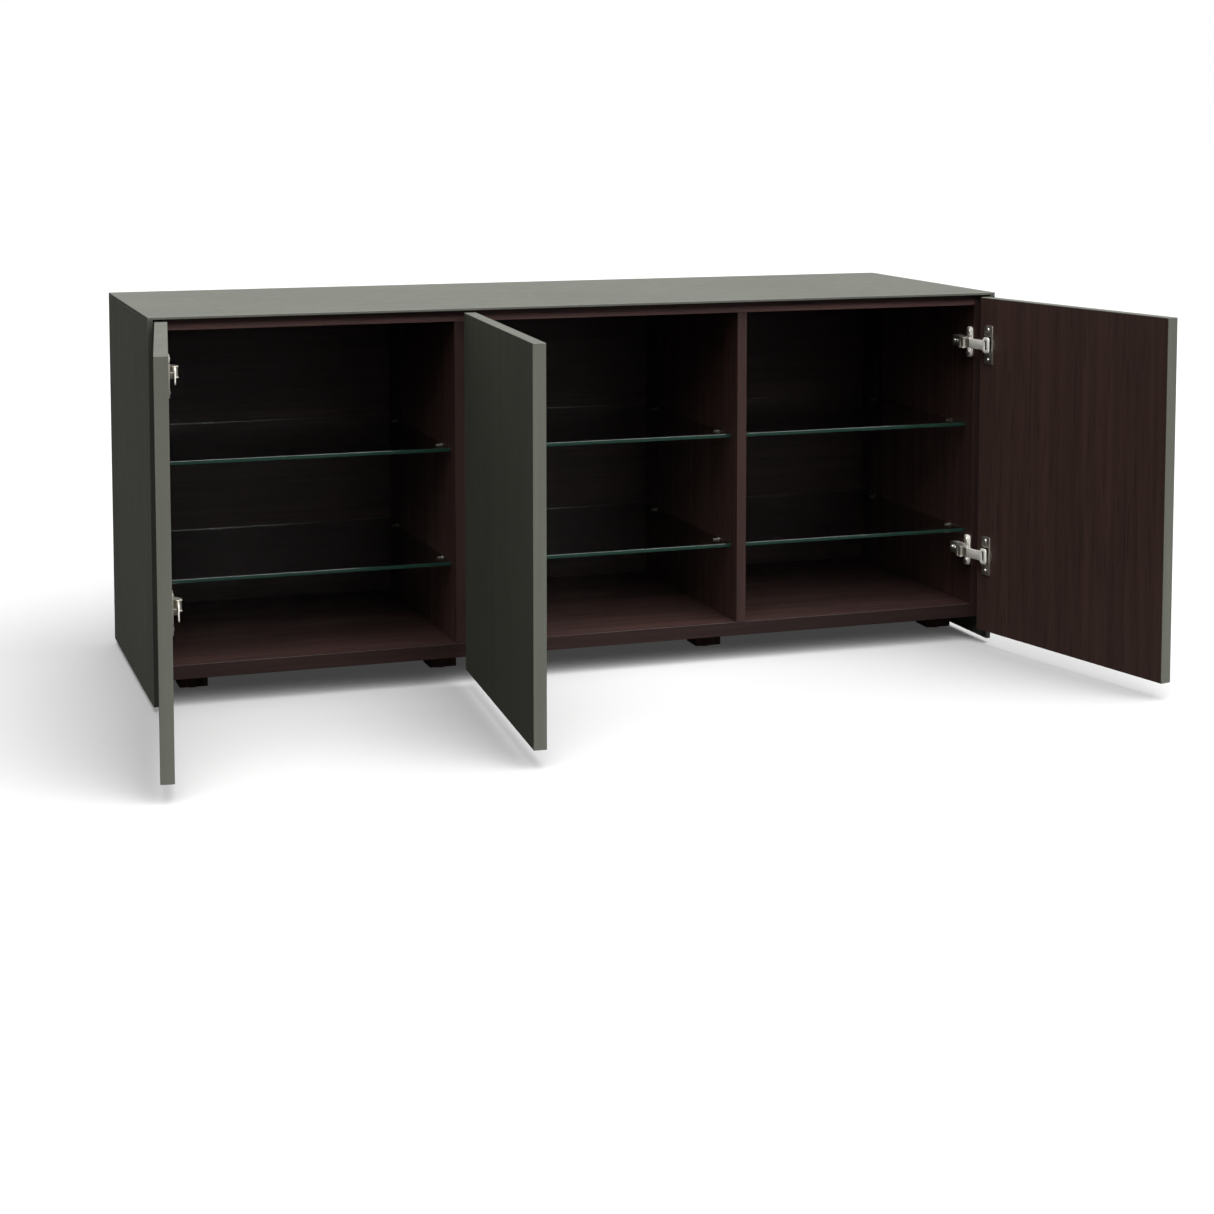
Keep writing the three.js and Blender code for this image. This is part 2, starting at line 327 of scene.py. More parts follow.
SHELL = lacquer("grey_lacquer", (0.088, 0.091, 0.076, 1), 0.62, 0.05, 0.10)
# Doors' outer faces: the shell's grey made darker, painted shade.
DOOR_FACE_SHADED = lacquer("grey_door_face_painted_shade", (0.077, 0.080, 0.064, 1), 0.62, 0.05, 0.10)
# The slab's own grey; the doors' upward edges take it too, as painted light.
TOP = lacquer("grey_top", (0.094, 0.097, 0.083, 1), 0.52, 0.04, 0.40)
DARK_EDGE = lacquer("dark_edge", (0.030, 0.032, 0.026, 1), 0.40, 0.05, 0.35)
SLAB_EDGE = lacquer("slab_edge", (0.066, 0.068, 0.058, 1), 0.45, 0.05, 0.30)
CARCASS_UPRIGHT = wenge("wenge_upright", UPRIGHT, (0.0, 0.0, 0.0),
                        ground=(0.030, 0.0145, 0.0125, 1), streak=(0.070, 0.035, 0.030, 1))
# Edges of the uprights: the veneer darkened, painted shade.
UPRIGHT_EDGE_SHADED = wenge("wenge_edge_painted_shade", UPRIGHT, (0.9, 1.3, 0.2),
                     ground=(0.021, 0.0102, 0.0088, 1), streak=(0.045, 0.0225, 0.0193, 1))
# Ceiling board: the veneer made lighter to stand in for light where the slab shades it, painted light.
CEILING_VENEER_LIT = wenge("wenge_ceiling_painted_light", LEVEL, (0.31, 0.17, 0.05),
                       ground=(0.060, 0.0300, 0.027, 1), streak=(0.135, 0.070, 0.063, 1))
# Floor board: the veneer darkened, painted shade.
FLOOR_VENEER_SHADED = wenge("wenge_floor_board_painted_shade", LEVEL, (2.3, 0.6, 0.7),
                     ground=(0.017, 0.0080, 0.0070, 1), streak=(0.044, 0.022, 0.0185, 1))
# Floor board's edges: darker still, painted shade.
FLOOR_EDGE_SHADED = wenge("wenge_floor_edge_painted_shade", LEVEL, (1.1, 2.6, 0.9),
                   ground=(0.0115, 0.0054, 0.0047, 1), streak=(0.029, 0.0145, 0.0122, 1))
BACK_OUTSIDE = wenge("wenge_back_outside", LEVEL, (2.7, 0.8, 1.4),
                     ground=(0.042, 0.0205, 0.019, 1), streak=(0.098, 0.049, 0.045, 1))
# Back panel's inner face and edges: the veneer darkened, painted shade.
BACK_VENEER_SHADED = wenge("wenge_back", LEVEL, (4.1, 1.6, 0.3),
                    ground=(0.018, 0.0090, 0.0080, 1), streak=(0.042, 0.021, 0.018, 1))
DOOR_VENEER = wenge("wenge_door", UPRIGHT, (1.7, 0.4, 0.9),
                    ground=(0.047, 0.0255, 0.0215, 1), streak=(0.073, 0.0410, 0.0345, 1))
# Feet: the veneer made much lighter to stand in for light under the floor board, painted light.
FOOT_WENGE_LIT = wenge("wenge_foot_painted_light", UPRIGHT, (3.1, 2.2, 0.4),
                   ground=(0.072, 0.035, 0.027, 1), streak=(0.150, 0.076, 0.058, 1))
CLEAR = glass("shelf_clear", (0.86, 0.95, 0.91, 1), 1.0, 0.01)
RIM = glass("shelf_green_rim", (0.016, 0.050, 0.037, 1), 0.50, 0.12)
NICKEL = plated("nickel", (0.80, 0.77, 0.69, 1), 0.40)
# Near-white, mostly non-metallic nickel for the plates and link bars: a painted reflection that makes
# them read bright.
NICKEL_PAINTED_REFLECTION = plated("nickel_painted_reflection", (0.96, 0.94, 0.86, 1), 0.42, 0.15)
# Darker steel for the cup's bowl and the link's hook inside it: painted shade in the recess.
BOWL_STEEL_SHADED = plated("bowl_steel_painted_shade", (0.26, 0.24, 0.21, 1), 0.45)
SCREW_STEEL = plated("screw_steel", (0.86, 0.85, 0.82, 1), 0.28)
GLIDE = moulded_plastic("black_glide", (0.02, 0.02, 0.02, 1))

# ---------------------------------------------------------------- mesh helpers


def rounded(mesh, offset, segments=3):
    bmesh.ops.bevel(mesh, geom=mesh.edges[:], offset=offset, offset_type="OFFSET", segments=segments,
                    profile=0.5, affect="EDGES", material=-1)


def block(low, high, round_by, segments=3):
    """Rounded board between two corners."""
    mesh = bmesh.new()
    low, high = Vector(low), Vector(high)
    bmesh.ops.create_cube(mesh, size=1.0)
    bmesh.ops.scale(mesh, vec=high - low, verts=mesh.verts)
    bmesh.ops.translate(mesh, vec=(low + high) / 2, verts=mesh.verts)
    if round_by:
        rounded(mesh, round_by, segments)
    return mesh


def plate(width, height, thickness, corner, round_by=0.0):
    """Rounded rectangle in the XY plane, centred, rising from z = 0 by its thickness."""
    mesh = bmesh.new()
    bmesh.ops.create_grid(mesh, x_segments=1, y_segments=1, size=0.5)
    bmesh.ops.scale(mesh, vec=(width, height, 1.0), verts=mesh.verts)
    bmesh.ops.bevel(mesh, geom=mesh.verts[:], offset=corner, offset_type="OFFSET", segments=5,
                    profile=0.5, affect="VERTICES", material=-1)
    return thickened(mesh, thickness, round_by)


def prism(points, thickness, round_by=0.0):
    """Flat outline in the XY plane, rising from z = 0 by its thickness."""
    mesh = bmesh.new()
    mesh.faces.new([mesh.verts.new((x, y, 0.0)) for x, y in points])
    return thickened(mesh, thickness, round_by)


def thickened(mesh, thickness, round_by):
    """Closed sheet from a flat face in the XY plane, its sharp edges rounded."""
    faces = mesh.faces[:]
    made = bmesh.ops.extrude_face_region(mesh, geom=faces, use_keep_orig=True)
    raised = [item for item in made["geom"] if isinstance(item, bmesh.types.BMVert)]
    bmesh.ops.translate(mesh, vec=(0.0, 0.0, thickness), verts=raised)
    bmesh.ops.recalc_face_normals(mesh, faces=mesh.faces[:])
    if round_by:
        sharp = [edge for edge in mesh.edges if edge.calc_face_angle(0.0) > math.radians(40)]
        bmesh.ops.bevel(mesh, geom=sharp, offset=round_by, offset_type="OFFSET", segments=2,
                        profile=0.5, affect="EDGES", material=-1)
    return mesh


def turned(profile, steps=32):
    """Solid of revolution about Z; the profile's points are (radius, height), axis to axis."""
    mesh = bmesh.new()
    verts = [mesh.verts.new((radius, 0.0, height)) for radius, height in profile]
    edges = [mesh.edges.new(pair) for pair in zip(verts, verts[1:])]
    bmesh.ops.spin(mesh, geom=verts + edges, cent=(0, 0, 0), axis=(0, 0, 1), angle=2 * math.pi,
                   steps=steps, use_merge=True, use_duplicate=False)
    bmesh.ops.remove_doubles(mesh, verts=mesh.verts[:], dist=1e-6)
    bmesh.ops.recalc_face_normals(mesh, faces=mesh.faces[:])
    return mesh


def moved(mesh, matrix):
    """The same mesh in another place; a mirrored one gets its faces turned outwards again."""
    bmesh.ops.transform(mesh, matrix=matrix, verts=mesh.verts[:])
    if matrix.determinant() < 0:
        bmesh.ops.reverse_faces(mesh, faces=mesh.faces[:])
    return mesh


def collected(parts):
    """One mesh from (mesh, material index) parts."""
    whole = bmesh.new()
    for part, index in parts:
        for face in part.faces:
            face.material_index = index
        scratch = bpy.data.meshes.new("scratch")
        part.to_mesh(scratch)
        part.free()
        whole.from_mesh(scratch)
        bpy.data.meshes.remove(scratch)
    return whole


def piece(name, mesh, materials, body, stands_for=(), smooth=False):
    """Finished piece at the origin, on its body and the CAD nodes it replaces."""
    data = bpy.data.meshes.new(name)
    mesh.to_mesh(data)
    mesh.free()
    for material in materials:
        data.materials.append(material)
    if smooth:
        data.shade_smooth()
        data.set_sharp_from_angle(angle=math.radians(35))
    thing = bpy.data.objects.new(name, data)
    bpy.context.scene.collection.objects.link(thing)
    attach(thing, body)
    if stands_for:
        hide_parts(*stands_for)
    return thing


# Turns a shape made in the XY plane so that its thickness runs along +X, with its own x along
# +Y and its own y along +Z; and so that its thickness runs along +Y, with its x along +X.
ALONG_X = Matrix(((0, 0, 1, 0), (1, 0, 0, 0), (0, 1, 0, 0), (0, 0, 0, 1)))
ALONG_Y = Matrix(((1, 0, 0, 0), (0, 0, 1, 0), (0, -1, 0, 0), (0, 0, 0, 1)))

DRIVE_LONG = 0.62  # half length and half width of a drive's bar, as shares of the head's radius
DRIVE_WIDE = 0.13
DRIVE_FLOOR = 0.35  # share of the head's height


def cross_drive(radius, height):
    """Two crossed bars that cut a screw's drive."""
    bars = []
    for along, across in ((DRIVE_LONG, DRIVE_WIDE), (DRIVE_WIDE, DRIVE_LONG)):
        low = (-radius * along, -radius * across, height * DRIVE_FLOOR)
        bars.append(block(low, (radius * along, radius * across, height * 1.5), 0.0))
    return bars


def screw(radius, height):
    """Domed screw head on the XY plane with a cross drive sunk in it."""
    profile = [(0.0, height), (radius * 0.4, height * 0.97), (radius * 0.75, height * 0.78),
               (radius * 0.94, height * 0.5), (radius, height * 0.25), (radius, 0.0), (0.0, 0.0)]
    return bored(turned(profile, 24), cross_drive(radius, height))


def solid_object(name, mesh):
    """Throwaway object that holds a mesh while it is cut."""
    data = bpy.data.meshes.new(name)
    mesh.to_mesh(data)
    mesh.free()
    thing = bpy.data.objects.new(name, data)
    bpy.context.scene.collection.objects.link(thing)
    return thing


def bored(mesh, cutters):
    """Cuts closed meshes out of another one."""
    blank = solid_object("blank", mesh)
    tools = [solid_object("tool", cutter) for cutter in cutters]
    for tool in tools:
        cut = blank.modifiers.new("cut", "BOOLEAN")
        cut.object = tool
        cut.operation = "DIFFERENCE"
        cut.solver = "EXACT"
    result = bmesh.new()
    result.from_object(blank, bpy.context.evaluated_depsgraph_get())
    for thing in (blank, *tools):
        bpy.data.meshes.remove(thing.data)
    return result


# ---------------------------------------------------------------- the doors' own frames


def joint(name):
    return next(item for item in frame["joints"] if item["name"] == name)


def hand_of(door):
    """+1 where the door closes towards +X, -1 where it closes towards -X."""
    return -int(math.copysign(1, joint(f"door_{door}_swing")["axis"][2]))


def open_turn(door):
    """Matrix that turns a closed door to its stored, open place."""
    angle = math.radians(-joint(f"door_{door}_swing")["range_deg"][0])
    return Matrix.Rotation(-hand_of(door) * angle, 4, "Z")


def on_door(door):
    """Door frame: x from the hinge edge along the door, y from outer to inner face, z up."""
    x, y, _ = joint(f"door_{door}_swing")["pos_m"]
    return Matrix.Translation((x, y, 0)) @ open_turn(door) @ Matrix.Diagonal((hand_of(door), 1, 1, 1))


def at_hinge(door):
    """Cabinet-side frame of a door's hinges: x into the bay, y into the cabinet, z up."""
    x, y, _ = joint(f"door_{door}_swing")["pos_m"]
    return Matrix.Translation((x, y, 0)) @ Matrix.Diagonal((hand_of(door), 1, 1, 1))


def on_link(door):
    """Link frame: origin at the pin, x along the open door, y away from the door's inner face."""
    x, y, _ = joint(f"links_{door}_fold")["pos_m"]
    return Matrix.Translation((x, y, 0)) @ open_turn(door) @ Matrix.Diagonal((hand_of(door), 1, 1, 1))


def box_in(node, matrix):
    """Lowest and highest corner of a CAD node in another frame."""
    back = matrix.inverted()
    points = [back @ vertex.co for vertex in frame["nodes"][node].data.vertices]
    low = Vector([min(point[i] for point in points) for i in range(3)])
    high = Vector([max(point[i] for point in points) for i in range(3)])
    return low, high


def middle_z(node):
    low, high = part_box(node)
    return (low.z + high.z) / 2


# ---------------------------------------------------------------- boards

BROAD = 0.6  # a face takes its broad, upward or outward finish where its normal is past this


def make_boards():
    """The cabinet's boards; each one's edges, or inner face, may have a finish of their own. The shell's
    dark edges are its own; the uprights' darker edges, the floor board's darker veneer and edges, and
    the back's darker inner face are painted shade, and the ceiling board's lighter veneer is painted
    light.
    """
    upright = [CARCASS_UPRIGHT, UPRIGHT_EDGE_SHADED]
    plan = (
        ("top_slab", "top", [TOP, SLAB_EDGE], "top_lacquer", SLAB_ROUND),
        ("outer_side_left", "outer_left", [SHELL, DARK_EDGE], "lacquer", SLAB_ROUND),
        ("outer_side_right", "outer_right", [SHELL, DARK_EDGE], "lacquer", SLAB_ROUND),
        ("inner_side_left", "inner_left", upright, "wenge", VENEER_ROUND),
        ("inner_side_right", "inner_right", upright, "wenge", VENEER_ROUND),
        ("divider_left", "upright_left", upright, "wenge", VENEER_ROUND),
        ("divider_right", "upright_right", upright, "wenge", VENEER_ROUND),
        ("carcass_top", "ceiling_board", [CEILING_VENEER_LIT], "wenge", VENEER_ROUND),
        ("carcass_floor", "floor_board", [FLOOR_VENEER_SHADED, FLOOR_EDGE_SHADED], "wenge", VENEER_ROUND),
        ("back_panel", "back_board", [BACK_VENEER_SHADED, BACK_OUTSIDE], "wenge", VENEER_ROUND),
    )
    for node, name, materials, slot, round_by in plan:
        low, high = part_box(node)
        board = block(low, high, round_by)
        broad = min(range(3), key=lambda axis: (high - low)[axis])
        for face in board.faces:
            # The back's rear face keeps the plain veneer; its inner face and edges take the darker one,
            # painted shade.
            if name == "back_board":
                face.material_index = 1 if face.normal.y > BROAD else 0
            elif len(materials) > 1:
                face.material_index = 0 if abs(face.normal[broad]) > BROAD else 1
        piece(name, board, materials, "cabinet", [node])


# ---------------------------------------------------------------- shelves

PIN_RADIUS = 2.5 * MM
PIN_COLLAR = 4.0 * MM
PIN_REACH = 10.0 * MM
PIN_INSET = 55.0 * MM  # from the shelf's front and back edges
PIN_SINK = 0.5 * MM  # how far its collar starts outside the shelf's end
PIN_DROP = 0.2 * MM  # room between the peg and the glass


def shelf_pin(inward):
    """Support pin on the X axis: collar against the board, and a peg with a bevelled end."""
    profile = [(0.0, 0.0), (PIN_COLLAR, 0.0), (PIN_COLLAR, 1.2 * MM), (PIN_RADIUS, 1.8 * MM),
               (PIN_RADIUS, PIN_REACH - 0.8 * MM), (PIN_RADIUS - 0.8 * MM, PIN_REACH), (0.0, PIN_REACH)]
    return moved(turned(profile, 18), Matrix.Diagonal((inward, 1, 1, 1)) @ ALONG_X)


def make_shelf(bay, level):
    """Glass shelf with greenish edges, and the four pins under it."""
    node = f"shelf_{bay}_{level}"
    low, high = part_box(node)
    sheet = block(low, high, GLASS_ROUND, 2)
    for face in sheet.faces:
        face.material_index = 0 if abs(face.normal.z) > 0.9 else 1
    piece(f"glass_{bay}_{level}", sheet, [CLEAR, RIM], "cabinet", [node])
    pins = []
    for x, inward in ((low.x - PIN_SINK, 1), (high.x + PIN_SINK, -1)):
        for y in (low.y + PIN_INSET, high.y - PIN_INSET):
            spot = Matrix.Translation((x, y, low.z - PIN_RADIUS - PIN_DROP))
            pins.append((moved(shelf_pin(inward), spot), 0))
    piece(f"pins_{bay}_{level}", collected(pins), [NICKEL], "cabinet", smooth=True)


# ---------------------------------------------------------------- feet


def make_feet():
    for row in ("front", "rear"):
        for column in ("outer_left", "inner_left", "inner_right", "outer_right"):
            node = f"foot_{row}_{column}"
            foot = block(*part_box(node), FOOT_ROUND)
            piece(f"foot_block_{row}_{column}", foot, [FOOT_WENGE_LIT], "cabinet", [node])
            make_glide(row, column)


def make_glide(row, column):
    """Round plastic glide under a foot."""
    node = f"glide_{row}_{column}"
    low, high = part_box(node)
    radius = (high.x - low.x) / 2
    rise = high.z - low.z
    profile = [(0.0, 0.0), (radius * 0.84, 0.0), (radius * 0.95, rise * 0.12), (radius, rise * 0.35),
               (radius, rise * 0.7), (radius * 0.9, rise), (0.0, rise)]
    spot = Matrix.Translation(((low.x + high.x) / 2, (low.y + high.y) / 2, low.z))
    mesh = moved(turned(profile, 36), spot)
    piece(f"pad_{row}_{column}", mesh, [GLIDE], "cabinet", [node], smooth=True)


# ---------------------------------------------------------------- doors

CUP_CENTRE = 20.8 * MM
CUP_HOLE = 15.0 * MM
CUP_WELL = 13.4 * MM
CUP_RIM = 15.8 * MM
CUP_SCREW = 25.0 * MM  # from the cup's centre, up and down
EAR_NEAR = 12.0 * MM  # the flange's two edges, from the door's hinge edge
EAR_FAR = 33.2 * MM
EAR_FOLD = 0.6 * MM  # how far its folded edge stands up
FOLD_WIDTH = 3.0 * MM
DRILL_REACH = 30.0 * MM
DRILL_PAST_CUP = 0.4 * MM
DOOR_BROAD = 0.9  # a face lies on the door's broad side where its normal is past this


def door_finish(face, inner):
    """Index of a door face's finish: 0 edge, 1 inner veneer, 2 upward edge, lighter as painted light, 3
    outer face, darker as painted shade.
    """
    if face.normal.y < -DOOR_BROAD:
        return 3
    # Upward door edges take the top's lighter, glossier grey: painted light where the lamp falls.
    if face.normal.z > BROAD:
        return 2
    if face.normal.y > DOOR_BROAD and face.calc_center_median().y > inner:
        return 1
    return 0


def make_door(door):
    """Door board with its two cup holes, lacquered outside and veneered inside."""
    place = on_door(door)
    low, high = box_in(f"door_{door}", place)
    panel = block(low, high, LACQUER_ROUND)
    bottom = box_in(f"cup_{door}_lower", place)[0].y - DRILL_PAST_CUP
    cutters = []
    for level in LEVELS:
        drill = turned([(0.0, 0.0), (CUP_HOLE, 0.0), (CUP_HOLE, DRILL_REACH), (0.0, DRILL_REACH)], 40)
        spot = Matrix.Translation((CUP_CENTRE, bottom, middle_z(f"cup_{door}_{level}"))) @ ALONG_Y
        cutters.append(moved(drill, spot))
    panel = bored(panel, cutters)
    inner = high.y - 0.05 * MM
    for face in panel.faces:
        face.material_index = door_finish(face, inner)
    moved(panel, place)
    # Finish 2 is the top's lighter grey on upward edges, painted light; finish 3 is a darker grey on the
    # outer face, painted shade.
    finishes = [SHELL, DOOR_VENEER, TOP, DOOR_FACE_SHADED]
    piece(f"leaf_{door}", panel, finishes, f"door_{door}", [f"door_{door}"])


# ---------------------------------------------------------------- hinges

# A screw head is its radius and its height.
CUP_SCREW_HEAD = (3.6 * MM, 1.8 * MM)
PLATE_SCREW_HEAD = (5.0 * MM, 2.2 * MM)
DEPTH_SCREW_HEAD = (4.2 * MM, 2.4 * MM)
SIDE_SCREW_HEAD = (3.4 * MM, 2.4 * MM)

CUP_FLANGE = 1.2 * MM  # thickness of the cup's screwed flange
CUP_RIM_TOP = 0.9 * MM  # the bowl's rim, below the flange's face
CUP_RIM_UNDER = 1.45 * MM
CUP_FLOOR = 1.5 * MM
EAR_CORNER = 4.0 * MM

SPINE_HALF = 8.5 * MM
WING_Y = 33.0 * MM
WING_WIDTH = 17.0 * MM
WING_SHEET = 2.4 * MM
WING_CORNER = 5.5 * MM
WING_CLEAR = 9.8 * MM  # half the room that the screwed bosses leave for the arm
BOSS_RISE = 4.6 * MM
BOSS_WIDTH = 12.0 * MM
BOSS_CORNER = 4.5 * MM


def bowl_profile(depth):
    """Half section of the cup's bowl, from its floor's inside over the rim to its outside."""
    rim_top = depth - CUP_RIM_TOP
    rim_under = depth - CUP_RIM_UNDER
    outside = CUP_HOLE - 0.3 * MM
    return [
        (0.0, CUP_FLOOR),
        (CUP_WELL - 2.5 * MM, CUP_FLOOR),
        (CUP_WELL - 0.6 * MM, 2.4 * MM),
        (CUP_WELL, 4.2 * MM),
        (CUP_WELL, rim_top - 0.4 * MM),
        (CUP_WELL + 0.4 * MM, rim_top),
        (CUP_RIM - 0.2 * MM, rim_top),
        (CUP_RIM, rim_top - 0.2 * MM),
        (CUP_RIM, rim_under),
        (outside, rim_under),
        (outside, 2.0 * MM),
        (CUP_HOLE - 2 * MM, 0.0),
        (0.0, 0.0),
    ]


def make_cup(door, level):
    """Pressed cup with a screwed flange above and below its bowl."""
    node = f"cup_{door}_{level}"
    place = on_door(door)
    low, high = box_in(node, place)
    z = (low.z + high.z) / 2
    half = (high.z - low.z) / 2
    bowl = turned(bowl_profile(high.y - low.y), 48)
    parts = [(moved(bowl, Matrix.Translation((CUP_CENTRE, low.y, z)) @ ALONG_Y), 2)]
    ear_height = half - CUP_WELL - 0.4 * MM
    ear_x = (EAR_NEAR + EAR_FAR) / 2
    for side in (-1, 1):
        ear = plate(EAR_FAR - EAR_NEAR, ear_height, CUP_FLANGE, EAR_CORNER, 0.3 * MM)
        ear_z = z + side * (half - ear_height / 2)
        spot = Matrix.Translation((ear_x, high.y - CUP_FLANGE, ear_z)) @ ALONG_Y
        parts.append((moved(ear, spot), 0))
        spot = Matrix.Translation((CUP_CENTRE, high.y, z + side * CUP_SCREW)) @ ALONG_Y
        parts.append((moved(screw(*CUP_SCREW_HEAD), spot), 1))
    fold_low = (EAR_FAR - FOLD_WIDTH, high.y - CUP_FLANGE, low.z + 0.6 * MM)
    fold_high = (EAR_FAR, high.y + EAR_FOLD, high.z - 0.6 * MM)
    parts.append((block(fold_low, fold_high, 0.5 * MM), 0))
    mesh = moved(collected(parts), place)
    # The bowl's darker steel is painted shade.
    finishes = [NICKEL, SCREW_STEEL, BOWL_STEEL_SHADED]
    name = f"hinge_cup_{door}_{level}"
    piece(name, mesh, finishes, f"door_{door}", [node], smooth=True)


def make_mounting_plate(door, level):
    """Cross-shaped plate: a raised spine for the arm and two screwed wings."""
    node = f"plate_{door}_{level}"
    place = at_hinge(door)
    low, high = box_in(node, place)
    height = high.z - low.z
    z = (low.z + high.z) / 2
    spine = block((low.x, low.y, z - SPINE_HALF), (high.x, high.y, z + SPINE_HALF), 0.8 * MM)
    wing = plate(WING_WIDTH, height, WING_SHEET, WING_CORNER, 0.4 * MM)
    parts = [(spine, 0), (moved(wing, Matrix.Translation((low.x, WING_Y, z)) @ ALONG_X), 0)]
    for side in (-1, 1):
        boss_z = z + side * (height + 2 * WING_CLEAR) / 4
        boss = plate(BOSS_WIDTH, height / 2 - WING_CLEAR, BOSS_RISE, BOSS_CORNER, 0.8 * MM)
        parts.append((moved(boss, Matrix.Translation((low.x, WING_Y, boss_z)) @ ALONG_X), 0))
        spot = Matrix.Translation((low.x + BOSS_RISE, WING_Y, boss_z)) @ ALONG_X
        parts.append((moved(screw(*PLATE_SCREW_HEAD), spot), 1))
    mesh = moved(collected(parts), place)
    # The plate's bright nickel is a painted reflection.
    finishes = [NICKEL_PAINTED_REFLECTION, SCREW_STEEL]
    name = f"hinge_plate_{door}_{level}"
    piece(name, mesh, finishes, "cabinet", [node], smooth=True)


ARM_SHEET = 1.5 * MM
ARM_RISE = 9.0 * MM  # of its rear web above its seat
ARM_STEP_BACK = 48.0 * MM  # the slope between the rear web and the front one, along y
ARM_STEP_FRONT = 36.0 * MM
ARM_HEEL = 40.0 * MM
ARM_NOSE = 31.0 * MM
ARM_CHIN = (28.0 * MM, 29.0 * MM)  # underside of the cheeks, at the nose and at the very front
DEPTH_SCREW = 6.0 * MM  # the arm's two screws, from its rear end
SIDE_SCREW = 17.0 * MM


def make_arm(door, level):
    """Channel-section arm: two cheeks, a stepped web and two adjusting screws."""
    node = f"arm_{door}_{level}"
    place = at_hinge(door)
    low, high = box_in(node, place)
    z = (low.z + high.z) / 2
    half = (high.z - low.z) / 2
    seat = low.x
    rear_top = seat + ARM_RISE
    front_top = high.x
    back = high.y
    under_rear = rear_top - ARM_SHEET
    under_front = front_top - ARM_SHEET
    cheek = [
        (seat, back),
        (seat, ARM_HEEL),
        (ARM_CHIN[0], ARM_NOSE),
        (ARM_CHIN[1], low.y),
        (front_top, low.y),
        (front_top, ARM_STEP_FRONT),
        (rear_top, ARM_STEP_BACK),
        (rear_top, back),
    ]
    web = [
        (rear_top, back),
        (rear_top, ARM_STEP_BACK),
        (front_top, ARM_STEP_FRONT),
        (front_top, ARM_NOSE),
        (under_front, ARM_NOSE),
        (under_front, ARM_STEP_FRONT - 0.6 * MM),
        (under_rear, ARM_STEP_BACK - 0.6 * MM),
        (under_rear, back),
    ]
    parts = []
    for start in (z - half, z + half - ARM_SHEET):
        wall = prism(cheek, ARM_SHEET, 0.3 * MM)
        parts.append((moved(wall, Matrix.Translation((0, 0, start))), 0))
    top = prism(web, 2 * half - 0.4 * MM, 0.35 * MM)
    parts.append((moved(top, Matrix.Translation((0, 0, z - half + 0.2 * MM))), 0))
    for inset, head in ((DEPTH_SCREW, DEPTH_SCREW_HEAD), (SIDE_SCREW, SIDE_SCREW_HEAD)):
        spot = Matrix.Translation((rear_top, back - inset, z)) @ ALONG_X
        parts.append((moved(screw(*head), spot), 1))
    mesh = moved(collected(parts), place)
    finishes = [NICKEL, SCREW_STEEL]
    name = f"hinge_arm_{door}_{level}"
    piece(name, mesh, finishes, "cabinet", [node], smooth=True)


BAR_SHEET = 2.0 * MM
BAR_UNDER = -1.6 * MM  # keeps the bar off the flange when the door is wide open
SLOT_X = 55.7 * MM
SLOT_WIDTH = 6.6 * MM
SLOT_HEIGHT = 17.0 * MM
SLOT_CORNER = 2.0 * MM
SLOT_DEPTH = 8.0 * MM  # of its cutter, which passes right through the bar
NECK_FROM = -1.0 * MM
NECK_TO = 15.0 * MM
NECK_HALF = 7.1 * MM
HOOK_FROM = 44.0 * MM
HOOK_TO = 48.5 * MM
HOOK_TIP = -11.0 * MM
HOOK_HALF = 5.0 * MM
BARREL_RADIUS = 3.4 * MM
HINGE_PIN_RADIUS = 1.5 * MM
HINGE_PIN_HALF = 9.0 * MM


def loop_outline():
    """Front view of the link past its neck, x along it: a bar that widens into a rounded end."""
    side = [(12.6, 7.1), (15.0, 8.0), (46.5, 8.0), (48.6, 9.2), (49.8, 11.2), (51.2, 12.4), (52.6, 12.8),
            (60.2, 12.8), (62.4, 12.0), (63.6, 10.6), (64.0, 8.4)]
    half = [(x * MM, y * MM) for x, y in side]
    return half + [(x, -y) for x, y in reversed(half)]


def upright_pin(radius, half, chamfer, steps):
    """Round bar about Z, centred, with chamfered ends."""
    profile = [
        (0.0, -half),
        (radius - chamfer, -half),
        (radius, chamfer - half),
        (radius, half - chamfer),
        (radius - chamfer, half),
        (0.0, half),
    ]
    return turned(profile, steps)


